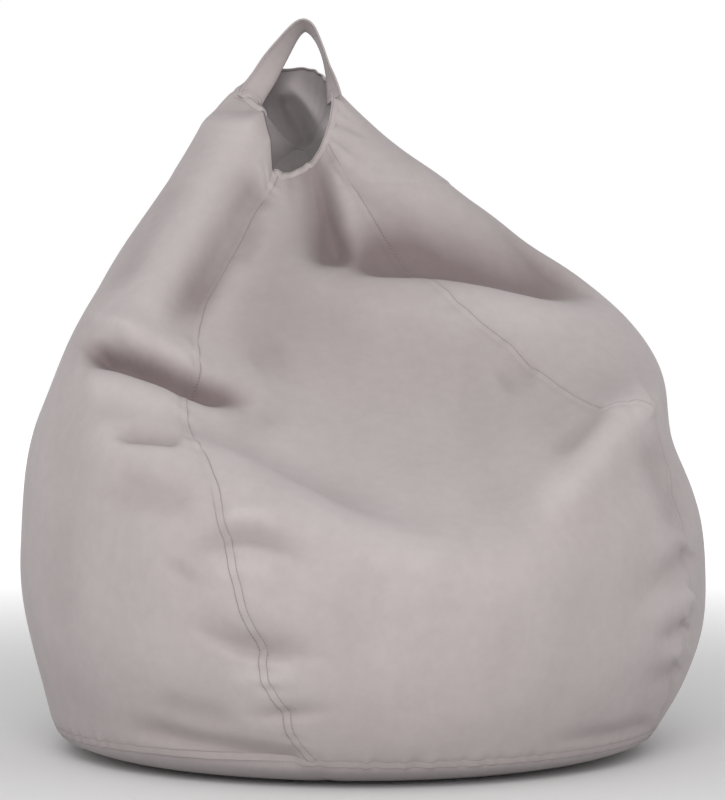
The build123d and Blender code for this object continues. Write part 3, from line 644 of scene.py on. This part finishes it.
# ---------------------------------------------------------------------- cap
NC = 300 if QUALITY == 1 else 180
azc = np.linspace(-180, 180, NC, endpoint=False)
rim = skin0(azc, np.full(NC, 12.0))
bot = np.array([CAP_C[0] + 6, CAP_C[1] + 12, CAP_Z - 35.0])
fs = np.concatenate([1 - .985 * np.linspace(0, 1, 64) ** 1.1])
rows = []
for f in fs:
    q = bot + (rim - bot) * f
    q[:, 2] = bot[2] + (rim[:, 2] - bot[2]) * f ** 1.45
    hi = smooth(q[:, 1], CAP_C[1] - 10, CAP_C[1] + 25)
    q[:, 2] -= hi * 14 * (1 - f) ** .8 * f ** .7 * 1.6
    q[:, 1] += hi * 16 * f * (1 - f) * 4
    rows.append(q)
cap = np.stack(rows, 1)
# a diagonal fold of slack cloth inside the pocket
yy_ = 3000.0 + cap[..., 1]
u_, v_ = cap[..., 0] * 3000 / yy_, 430 + (cap[..., 2] - 430) * 3000 / yy_
r, side_, t_ = along(u_, v_, [(-99, 836), (-84, 818), (-66, 794), (-50, 772), (-44, 756)])
k_ = smooth(1 - fs[None], .03, .2)
ends_ = smooth(t_, -.02, .2) * smooth(1 - t_, -.02, .2)
cap[..., 1] -= 12 * np.exp(-(r / np.where(side_ > 0, 15, 8)) ** 2) * ends_ * k_
r2, side2, t2 = along(u_, v_, [(-104, 812), (-88, 790), (-72, 764), (-62, 744)])
cap[..., 1] += 10 * np.exp(-(r2 / 12) ** 2) * smooth(t2, -.02, .2) * smooth(1 - t2, -.02, .2) * k_
cap[..., 2] += 1.4 * undulation(cap, 46, 12, 18) * k_
# painted shade in the pocket and its inner fold, darkest low in the pocket, with painted highlight on the bulge and the
# upper rim
pocket_painted_light = np.clip(.50 + .50 * np.exp(-(r2 / 26) ** 2) - .75 * np.exp(-(r / 13) ** 2) * ends_
                - .35 * smooth(v_ - 1.0 * u_, 880, 940) + .6 * (1 - smooth(v_, 715, 765)), -.2, 1)
uv = np.stack([cap[..., 0] / 1000, (cap[..., 2] - cap[..., 1]) / 1400], -1)
edge = np.broadcast_to((1 - fs[None]) * 60, cap.shape[:2])
cap_faces = grid_faces(cap.shape[0], cap.shape[1], close=True).tolist()
cap_faces.append([k_i * cap.shape[1] + cap.shape[1] - 1 for k_i in range(cap.shape[0])])
ob = mesh_object("top_cap_cloth", cap.reshape(-1, 3), cap_faces, uv.reshape(-1, 2),
                 attrs={"edge": edge.ravel(), "painted_light": pocket_painted_light.ravel()})
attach(ob, "bag"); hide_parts("top_cap")
made["top_cap"] = ob

tuck = smooth(azc, -64, -56) * (1 - smooth(azc, -34, -22))
rim_line = rim.copy()
rim_line[:, 2] -= 8 * tuck
rim_line[:, 0] -= 4 * tuck
rim_line[:, 1] += 9 * tuck
rim = rim_line
p = rim + unit(rim - np.array([CAP_C[0], CAP_C[1] + 10, 760.0])) * .4
p = np.concatenate([p, p[:1]])
t = unit(np.gradient(p, axis=0)); t[0] = t[-1] = unit(p[1] - p[-2])
_, n1 = cloth(azc, np.full(NC, 11.93))
n1 = np.concatenate([n1, n1[:1]])
upw = unit(p - np.array([CAP_C[0], CAP_C[1], 740.0]))
n = unit(n1 * .6 + upw)
n = unit(n - t * (n * t).sum(-1, keepdims=True))
ob = strip("cap_seam_felled", p, unit(np.cross(t, n)), n)
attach(ob, "bag"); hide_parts("cap_seam")

# ------------------------------------------------------------------- handle
HANDLE = [(-150, 819.5, 10, 145), (-148.5, 822, 12, 147), (-141, 837, 18, 154), (-131.5, 852, 25, 160), (-121, 870, 33, 162),
          (-108.5, 889, 47, 162), (-97.5, 905, 59, 162), (-88, 917, 66, 162), (-77.5, 923.5, 70, 162), (-67, 918, 76, 162),
          (-58, 903, 82, 162), (-51, 885, 83, 162), (-46, 867, 79, 161), (-42, 852, 70, 159), (-39, 838, 62, 157), (-37, 825, 56, 154)]
STRAP_W, STRAP_T = 35.0, 2.2
path = np.array(HANDLE, float)
kk = np.linspace(0, len(path) - 1, 150)
i = np.arange(len(path))


def cubic(y, x):
    n_ = len(y)
    a_ = np.eye(n_); b_ = np.zeros((n_, n_))
    for q_ in range(1, n_ - 1):
        a_[q_, q_ - 1], a_[q_, q_], a_[q_, q_ + 1] = 1, 4, 1
        b_[q_, q_ - 1], b_[q_, q_], b_[q_, q_ + 1] = 6, -12, 6
    m_ = np.linalg.solve(a_, b_) @ y
    i_ = np.minimum(np.floor(x).astype(int), n_ - 2)
    f_ = (x - i_)[:, None]
    return ((1 - f_) * y[i_] + f_ * y[i_ + 1] - 1 / 6 * (((1 - f_) - (1 - f_) ** 3) * m_[i_] + (f_ - f_ ** 3) * m_[i_ + 1]))


q = cubic(path, kk)
cen = np.stack([q[:, 0], q[:, 3], q[:, 1]], -1)
tan = unit(np.gradient(cen, axis=0))
turn = np.radians(q[:, 2])
depth = np.array([0, 1.0, 0])
across = unit(np.cross(np.broadcast_to(depth, tan.shape), tan))
depth_p = unit(np.cross(tan, across))
wd = across * np.cos(turn)[:, None] + depth_p * np.sin(turn)[:, None]
nd = -across * np.sin(turn)[:, None] + depth_p * np.cos(turn)[:, None]
sec = []
W2, T2 = STRAP_W / 2, STRAP_T / 2
for a in np.linspace(-1, 1, 15):
    sec.append((a * (W2 - .5), T2 * (1 + .12 * math.exp(-((abs(a) * W2 - 14.5) / 1.2) ** 2) * -3)))
sec = sec + [(W2, 0)] + [(-x, -y) for x, y in sec] + [(-W2, 0)]
sec = np.array(sec)
sv = cen[:, None] + wd[:, None] * sec[None, :, :1] + nd[:, None] * sec[None, :, 1:]
cum = np.concatenate([[0], np.cumsum(np.linalg.norm(np.diff(cen, axis=0), axis=1))])
uv = np.stack(np.broadcast_arrays(sec[None, :, 0] / 1000, cum[:, None] / 1000), -1)
n_r, n_c = sv.shape[:2]
faces = [[r_ * n_c + c_, r_ * n_c + (c_ + 1) % n_c, (r_ + 1) * n_c + (c_ + 1) % n_c, (r_ + 1) * n_c + c_]
         for r_ in range(n_r - 1) for c_ in range(n_c)]
faces += [list(range(n_c))[::-1], [(n_r - 1) * n_c + c_ for c_ in range(n_c)]]
strap = mesh_object("handle_strap", sv.reshape(-1, 3), faces, uv.reshape(-1, 2),
                    attrs={"edge": np.broadcast_to(np.abs(W2 - np.abs(sec[None, :, 0])), sv.shape[:2]).ravel()})
body_stitches = (list(stitch_v), list(stitch_f), stitch_n)
stitch_v, stitch_f, stitch_n = [], [], 0
for sgn in (-1, 1):
    for face_ in (-1, 1):
        add_stitches(cen + wd * sgn * (W2 - 3.0) + nd * face_ * (T2 + .05), wd, nd * face_, length=2.8, thick=.5)
strap_stitch = mesh_object("handle_stitching", np.concatenate(stitch_v), np.concatenate(stitch_f))
stitch_v, stitch_f, stitch_n = list(body_stitches[0]), list(body_stitches[1]), body_stitches[2]

# rows of stitches that hold the two ends down
for k0, k1 in ((6, 10), (len(cen) - 11, len(cen) - 7)):
    for kq in (k0, k1):
        line = cen[kq] + wd[kq] * np.linspace(-W2 + 1.5, W2 - 1.5, 12)[:, None] - nd[kq] * (T2 + .05)
        add_stitches(line, np.broadcast_to(tan[kq], line.shape), np.broadcast_to(-nd[kq], line.shape), length=2.6, thick=.6)
all_stitches = mesh_object("seam_stitching", np.concatenate(stitch_v), np.concatenate(stitch_f))
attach(all_stitches, "bag")
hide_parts("handle_loop", "handle_end_left", "handle_end_right")
for ob in (strap, strap_stitch):
    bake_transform(ob)

# ------------------------------------------------------ inside: liner, beads
azi = np.linspace(-180, 180, 216, endpoint=False)
s_in = np.concatenate([np.linspace(-3, 0, 8)[:-1], np.linspace(0, 11.6, 132)])
a_in = np.broadcast_to(azi[:, None], (len(azi), len(s_in)))
p_in = at(a_in, s_in[None])
n_in = base_normal(a_in, np.broadcast_to(s_in[None], a_in.shape))
h_in = height(p_in, a_in, np.broadcast_to(s_in[None], a_in.shape), n_in)
low_in = h_in.copy()
for i_ in range(-3, 4):
    for j_ in range(-3, 4):
        sh = np.roll(h_in, i_, 0)
        jj = np.clip(np.arange(len(s_in)) + j_, 0, len(s_in) - 1)
        low_in = np.minimum(low_in, sh[:, jj])
low_in = np.minimum(low_in, 4.0)


def inner_shape(name, inset, lid):
    """A bag inside the cover that stays behind every fold of it."""
    p_ = p_in + n_in * (low_in - inset)[..., None]
    neck = np.array([CAP_C[0], CAP_C[1], 0.0])
    k_ = smooth(s_in, 7.4, 9.4)[None, :, None]
    flat_ = p_[..., :2] - neck[:2]
    r_ = np.linalg.norm(flat_, axis=-1, keepdims=True)
    p_[..., :2] -= flat_ / np.maximum(r_, 1) * np.minimum(k_ * 16, r_ * .4)
    p_[..., 2] = np.minimum(p_[..., 2], 736.0 - inset + .5 * (p_[..., 1] - 146))
    p_[..., 2] = np.maximum(p_[..., 2], inset)
    top_c = p_[:, -1].mean(0) + np.array([0, 0, lid])
    bot_c = p_[:, 0].mean(0)
    p_ = np.concatenate([bot_c + (p_[:, :1] - bot_c) * f_ for f_ in (.04, .5)] + [p_]
                        + [top_c + (p_[:, -1:] - top_c) * f_ for f_ in (.75, .4, .04)], 1)
    uv_ = np.stack([p_[..., 0] / 1000, p_[..., 2] / 1000], -1)
    return mesh_object(name, p_.reshape(-1, 3), grid_faces(p_.shape[0], p_.shape[1], close=True), uv_.reshape(-1, 2),
                       attrs={"edge": np.full(p_.shape[:2], 60.0).ravel()})


liner = inner_shape("liner_cloth", 6.0, 0.0)
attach(liner, "bag"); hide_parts("liner_bag", "liner_neck")
beads = inner_shape("bead_filling", 9.0, 0.0)
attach(beads, "bag"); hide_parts("bead_fill")

# ---------------------------------------------------------------- materials
def new_mat(name):
    m = bpy.data.materials.new(name)
    m.use_nodes = True
    nt = m.node_tree
    b = nt.nodes["Principled BSDF"]
    return m, nt, b


def link(nt, a, b):
    nt.links.new(a, b)


def fabric(name, color, dark, rough=.82, thread=.9, weave=.10, grain=.12, sheen=.12, edge_dirt_and_shade=.10, edge_width=10.0, painted_shade_strength=.42, grain_scale=620.0):
    """Woven cloth with a soft coating: crossed threads, fine grain, cloudy tone."""
    m, nt, b = new_mat(name)
    N = nt.nodes.new
    b.inputs["Roughness"].default_value = rough
    b.inputs["Sheen Weight"].default_value = sheen
    b.inputs["Sheen Roughness"].default_value = .6
    b.inputs["Specular IOR Level"].default_value = .28
    uv = N("ShaderNodeUVMap")
    mp = N("ShaderNodeMapping"); mp.inputs["Scale"].default_value = (1000, 1000, 1000)
    link(nt, uv.outputs["UV"], mp.inputs["Vector"])
    waves = []
    for direc in ("X", "Y"):
        w = N("ShaderNodeTexWave")
        w.wave_type = "BANDS"; w.bands_direction = direc; w.wave_profile = "SIN"
        w.inputs["Scale"].default_value = .314 / thread
        w.inputs["Distortion"].default_value = .6
        w.inputs["Detail"].default_value = 2
        w.inputs["Detail Scale"].default_value = .4
        link(nt, mp.outputs["Vector"], w.inputs["Vector"])
        waves.append(w)
    mixw = N("ShaderNodeMath"); mixw.operation = "MAXIMUM"
    link(nt, waves[0].outputs["Fac"], mixw.inputs[0]); link(nt, waves[1].outputs["Fac"], mixw.inputs[1])
    tc = N("ShaderNodeTexCoord")
    cloud = N("ShaderNodeTexNoise"); cloud.inputs["Scale"].default_value = 7; cloud.inputs["Detail"].default_value = 5
    fine = N("ShaderNodeTexNoise"); fine.inputs["Scale"].default_value = grain_scale; fine.inputs["Detail"].default_value = 3
    mott = N("ShaderNodeTexNoise"); mott.inputs["Scale"].default_value = 60; mott.inputs["Detail"].default_value = 6
    mott.inputs["Roughness"].default_value = .65
    for t_ in (cloud, fine, mott):
        link(nt, tc.outputs["Object"], t_.inputs["Vector"])
    ramp = N("ShaderNodeMapRange"); ramp.inputs["From Min"].default_value = .3; ramp.inputs["From Max"].default_value = .7
    link(nt, cloud.outputs["Fac"], ramp.inputs["Value"])
    mix = N("ShaderNodeMix"); mix.data_type = "RGBA"
    mix.inputs["A"].default_value = (*[c * .965 for c in color], 1)
    mix.inputs["B"].default_value = (*[min(1, c * 1.03) for c in color], 1)
    link(nt, ramp.outputs["Result"], mix.inputs["Factor"])
    ramp2 = N("ShaderNodeMapRange"); ramp2.inputs["From Min"].default_value = .35; ramp2.inputs["From Max"].default_value = .65
    ramp2.inputs["To Min"].default_value = 0; ramp2.inputs["To Max"].default_value = .09
    link(nt, mott.outputs["Fac"], ramp2.inputs["Value"])
    mix2 = N("ShaderNodeMix"); mix2.data_type = "RGBA"
    link(nt, ramp2.outputs["Result"], mix2.inputs["Factor"])
    link(nt, mix.outputs["Result"], mix2.inputs["A"])
    mix2.inputs["B"].default_value = (*dark, 1)
    # darker along seams and edges: dust and handling on the cloth panels and strap, painted shade in the stitch grooves
    # of the seam strips
    at_ = N("ShaderNodeAttribute"); at_.attribute_name = "edge"
    er = N("ShaderNodeMapRange"); er.inputs["From Min"].default_value = 0; er.inputs["From Max"].default_value = edge_width
    er.inputs["To Min"].default_value = edge_dirt_and_shade; er.inputs["To Max"].default_value = 0
    link(nt, at_.outputs["Fac"], er.inputs["Value"])
    mix3 = N("ShaderNodeMix"); mix3.data_type = "RGBA"
    link(nt, er.outputs["Result"], mix3.inputs["Factor"])
    link(nt, mix2.outputs["Result"], mix3.inputs["A"])
    mix3.inputs["B"].default_value = (*dark, 1)
    # painted shade in the folds and recesses, warmer where deepest, and painted highlight on the rolls
    ca = N("ShaderNodeAttribute"); ca.attribute_name = "painted_light"
    cm = N("ShaderNodeMapRange"); cm.inputs["From Min"].default_value = -.6; cm.inputs["From Max"].default_value = 1.6
    link(nt, ca.outputs["Fac"], cm.inputs["Value"])
    ct = N("ShaderNodeMix"); ct.data_type = "RGBA"
    ct.inputs["A"].default_value = (1.07, 1.075, 1.075, 1)
    deep = 1.0 - 1.45 * painted_shade_strength
    ct.inputs["B"].default_value = (deep * 1.05, deep * .90, deep * .90, 1)
    link(nt, cm.outputs["Result"], ct.inputs["Factor"])
    cmul = N("ShaderNodeMix"); cmul.data_type = "RGBA"; cmul.blend_type = "MULTIPLY"; cmul.inputs["Factor"].default_value = 1
    link(nt, mix3.outputs["Result"], cmul.inputs["A"])
    link(nt, ct.outputs["Result"], cmul.inputs["B"])
    wv = N("ShaderNodeMapRange"); wv.inputs["To Min"].default_value = .93; wv.inputs["To Max"].default_value = 1.03
    link(nt, mixw.outputs["Value"], wv.inputs["Value"])
    mul = N("ShaderNodeMix"); mul.data_type = "RGBA"; mul.blend_type = "MULTIPLY"; mul.inputs["Factor"].default_value = 1
    link(nt, cmul.outputs["Result"], mul.inputs["A"])
    link(nt, wv.outputs["Result"], mul.inputs["B"])
    link(nt, mul.outputs["Result"], b.inputs["Base Color"])
    rr = N("ShaderNodeMapRange"); rr.inputs["To Min"].default_value = rough - .07; rr.inputs["To Max"].default_value = rough + .07
    link(nt, mott.outputs["Fac"], rr.inputs["Value"])
    link(nt, rr.outputs["Result"], b.inputs["Roughness"])
    b1 = N("ShaderNodeBump"); b1.inputs["Strength"].default_value = .35; b1.inputs["Distance"].default_value = weave / 1000
    link(nt, mixw.outputs["Value"], b1.inputs["Height"])
    b2 = N("ShaderNodeBump"); b2.inputs["Strength"].default_value = .35; b2.inputs["Distance"].default_value = grain / 1000
    link(nt, fine.outputs["Fac"], b2.inputs["Height"])
    link(nt, b1.outputs["Normal"], b2.inputs["Normal"])
    b3 = N("ShaderNodeBump"); b3.inputs["Strength"].default_value = .5; b3.inputs["Distance"].default_value = .0006
    link(nt, mott.outputs["Fac"], b3.inputs["Height"])
    link(nt, b2.outputs["Normal"], b3.inputs["Normal"])
    link(nt, b3.outputs["Normal"], b.inputs["Normal"])
    return m


TAUPE = (0.446, 0.4, 0.399)
DARK = (.20, .165, .16)
m_cover = fabric("cover_cloth", TAUPE, DARK)
# cap cloth darker and with stronger painted shade: painted shade of the pocket
m_cap = fabric("cap_cloth", tuple(c * .9 for c in TAUPE), DARK, painted_shade_strength=.66)
m_base = fabric("base_cloth", tuple(c * .8 for c in TAUPE), (.08, .07, .07), rough=.88, weave=.2)
# painted shade darkens the stitch grooves of the seam strips
m_seam = fabric("seam_cloth", TAUPE, (.12, .095, .09), edge_dirt_and_shade=.62, edge_width=.85)
m_strap = fabric("strap_webbing", tuple(c * 1.0 for c in TAUPE), DARK, thread=1.5, weave=.3, grain=.2, edge_dirt_and_shade=.2)
m_liner = fabric("liner_cloth", (.80, .80, .77), (.4, .4, .38), thread=.6, weave=.06)
m_tape = fabric("zip_tape_cloth", tuple(c * .8 for c in TAUPE), DARK, thread=.7, weave=.25)


def thread_mat():
    m, nt, b = new_mat("thread")
    N = nt.nodes.new
    tc = N("ShaderNodeTexCoord")
    no = N("ShaderNodeTexNoise"); no.inputs["Scale"].default_value = 900; no.inputs["Detail"].default_value = 2
    link(nt, tc.outputs["Object"], no.inputs["Vector"])
    mix = N("ShaderNodeMix"); mix.data_type = "RGBA"
    mix.inputs["A"].default_value = (*[c * .62 for c in TAUPE], 1); mix.inputs["B"].default_value = (*[c * .82 for c in TAUPE], 1)
    link(nt, no.outputs["Fac"], mix.inputs["Factor"])
    link(nt, mix.outputs["Result"], b.inputs["Base Color"])
    b.inputs["Roughness"].default_value = .6
    bp = N("ShaderNodeBump"); bp.inputs["Strength"].default_value = .4; bp.inputs["Distance"].default_value = .0001
    link(nt, no.outputs["Fac"], bp.inputs["Height"]); link(nt, bp.outputs["Normal"], b.inputs["Normal"])
    return m


def bead_mat():
    m, nt, b = new_mat("beads")
    N = nt.nodes.new
    tc = N("ShaderNodeTexCoord")
    vo = N("ShaderNodeTexVoronoi"); vo.inputs["Scale"].default_value = 260
    link(nt, tc.outputs["Object"], vo.inputs["Vector"])
    mr = N("ShaderNodeMapRange"); mr.inputs["To Min"].default_value = .95; mr.inputs["To Max"].default_value = .7
    link(nt, vo.outputs["Distance"], mr.inputs["Value"])
    cr = N("ShaderNodeCombineColor")
    for i_ in range(3):
        link(nt, mr.outputs["Result"], cr.inputs[i_])
    link(nt, cr.outputs["Color"], b.inputs["Base Color"])
    bp = N("ShaderNodeBump"); bp.inputs["Distance"].default_value = .002; bp.invert = True
    link(nt, vo.outputs["Distance"], bp.inputs["Height"]); link(nt, bp.outputs["Normal"], b.inputs["Normal"])
    b.inputs["Roughness"].default_value = .6
    return m


def plastic(name, color, rough, bump_scale, metallic=0.0):
    m, nt, b = new_mat(name)
    N = nt.nodes.new
    tc = N("ShaderNodeTexCoord")
    no = N("ShaderNodeTexNoise"); no.inputs["Scale"].default_value = bump_scale; no.inputs["Detail"].default_value = 4
    link(nt, tc.outputs["Object"], no.inputs["Vector"])
    mix = N("ShaderNodeMix"); mix.data_type = "RGBA"
    mix.inputs["A"].default_value = (*[c * .85 for c in color], 1); mix.inputs["B"].default_value = (*[c * 1.1 for c in color], 1)
    link(nt, no.outputs["Fac"], mix.inputs["Factor"])
    link(nt, mix.outputs["Result"], b.inputs["Base Color"])
    mr = N("ShaderNodeMapRange"); mr.inputs["To Min"].default_value = rough - .1; mr.inputs["To Max"].default_value = rough + .1
    link(nt, no.outputs["Fac"], mr.inputs["Value"]); link(nt, mr.outputs["Result"], b.inputs["Roughness"])
    b.inputs["Metallic"].default_value = metallic
    bp = N("ShaderNodeBump"); bp.inputs["Strength"].default_value = .3; bp.inputs["Distance"].default_value = .0002
    link(nt, no.outputs["Fac"], bp.inputs["Height"]); link(nt, bp.outputs["Normal"], b.inputs["Normal"])
    return m


def coil_mat():
    m = plastic("zip_coil_nylon", tuple(c * .7 for c in TAUPE), .45, 300)
    nt = m.node_tree
    b = nt.nodes["Principled BSDF"]
    N = nt.nodes.new
    tc = N("ShaderNodeTexCoord")
    w = N("ShaderNodeTexWave"); w.bands_direction = "Z"; w.inputs["Scale"].default_value = 314.0 / 1.6
    link(nt, tc.outputs["Object"], w.inputs["Vector"])
    bp = N("ShaderNodeBump"); bp.inputs["Strength"].default_value = .9; bp.inputs["Distance"].default_value = .0008
    link(nt, w.outputs["Fac"], bp.inputs["Height"]); link(nt, bp.outputs["Normal"], b.inputs["Normal"])
    return m


m_thread = thread_mat()
m_beads = bead_mat()
m_coil = coil_mat()
m_slider = plastic("slider_plastic", (.23, .2, .195), .45, 420)
m_stop = plastic("stop_steel", (.55, .55, .55), .35, 500, metallic=1.0)


def assign(ob, mat):
    ob.data.materials.clear()
    ob.data.materials.append(mat)


for key, ob in made.items():
    assign(ob, {"top_cap": m_cap, "base_panel": m_base}.get(key, m_cover))
for ob in list(bpy.data.objects):
    if ob.name.endswith("_felled"):
        assign(ob, m_seam)
assign(strap, m_strap)
assign(strap_stitch, m_thread)
assign(all_stitches, m_thread)
assign(liner, m_liner)
assign(beads, m_beads)
NODE_MATS = {"zip_tape_left": m_tape, "zip_tape_right": m_tape, "zip_coil_left": m_coil, "zip_coil_right": m_coil,
             "zip_slider": m_slider, "liner_zip_slider": m_slider, "zip_top_stop": m_stop, "zip_bottom_stop": m_stop,
             "liner_zip_tape_upper": m_tape, "liner_zip_tape_lower": m_tape, "liner_zip_coil": m_coil}
for name, mat in NODE_MATS.items():
    ob = bpy.data.objects.get(name)
    if ob is not None:
        for sl in ob.material_slots:
            sl.link = "OBJECT"
            sl.material = mat

# -------------------------------------------------------------------- stage
me = bpy.data.meshes.new("floor")
R_ = 30.0
ring = [(R_ * cos(a), R_ * sin(a), 0) for a in np.linspace(0, 2 * pi, 96, endpoint=False)]
me.from_pydata(ring, [], [list(range(96))])
floor = bpy.data.objects.new("floor", me)
bpy.context.scene.collection.objects.link(floor)
m, nt, b = new_mat("floor_white")
b.inputs["Base Color"].default_value = (0.8, 0.8, 0.8, 1)
b.inputs["Roughness"].default_value = .9
tcf = nt.nodes.new("ShaderNodeTexCoord")
far = nt.nodes.new("ShaderNodeVectorMath"); far.operation = "LENGTH"
link(nt, tcf.outputs["Object"], far.inputs[0])
fade = nt.nodes.new("ShaderNodeMapRange"); fade.interpolation_type = "SMOOTHSTEP"
fade.inputs["From Min"].default_value = .6; fade.inputs["From Max"].default_value = 3.6
fade.inputs["To Min"].default_value = 0; fade.inputs["To Max"].default_value = 0.6
link(nt, far.outputs["Value"], fade.inputs["Value"])
b.inputs["Emission Color"].default_value = (1, 1, 1, 1)
link(nt, fade.outputs["Result"], b.inputs["Emission Strength"])
floor.data.materials.append(m)

world = bpy.data.worlds.new("studio")
bpy.context.scene.world = world
world.use_nodes = True
wn = world.node_tree
bg = wn.nodes["Background"]
tcw = wn.nodes.new("ShaderNodeTexCoord")
sep = wn.nodes.new("ShaderNodeSeparateXYZ")
wn.links.new(tcw.outputs["Generated"], sep.inputs["Vector"])
low = wn.nodes.new("ShaderNodeMapRange")
low.interpolation_type = "SMOOTHSTEP"
low.inputs["From Min"].default_value = .16
low.inputs["From Max"].default_value = .46
low.inputs["To Min"].default_value = 1.0
low.inputs["To Max"].default_value = 0.7
wn.links.new(sep.outputs["Z"], low.inputs["Value"])
high = wn.nodes.new("ShaderNodeMapRange")
high.inputs["From Min"].default_value = .46
high.inputs["From Max"].default_value = 1.0
high.inputs["To Min"].default_value = 0.0
high.inputs["To Max"].default_value = -0.24
wn.links.new(sep.outputs["Z"], high.inputs["Value"])
add = wn.nodes.new("ShaderNodeMath")
wn.links.new(low.outputs["Result"], add.inputs[0])
wn.links.new(high.outputs["Result"], add.inputs[1])
wn.links.new(add.outputs["Value"], bg.inputs["Strength"])
bg.inputs["Color"].default_value = (1, 1, 1, 1)


def area(name, loc, target, size, power, color=(1, 1, 1)):
    li = bpy.data.lights.new(name, "AREA")
    li.shape = "RECTANGLE"
    li.size, li.size_y = size
    li.energy = power
    li.color = color
    ob = bpy.data.objects.new(name, li)
    ob.location = loc
    ob.rotation_euler = (Vector(target) - Vector(loc)).to_track_quat("-Z", "Y").to_euler()
    bpy.context.scene.collection.objects.link(ob)
    return ob


area("key", (-0.1, -3.2, 1.8), (0, 0, .4), (1.9, 1.7), 60.0)

cam_data = bpy.data.cameras.new("camera")
cam_data.lens = 108.0
cam_data.sensor_width = 36.0
cam = bpy.data.objects.new("camera", cam_data)
cam.location = (0.0, -3.0, 0.43)
cam.rotation_euler = (radians(90), 0, 0)
bpy.context.scene.collection.objects.link(cam)
bpy.context.scene.camera = cam
bpy.context.scene.view_settings.view_transform = "Standard"
bpy.context.scene.view_settings.look = "None"
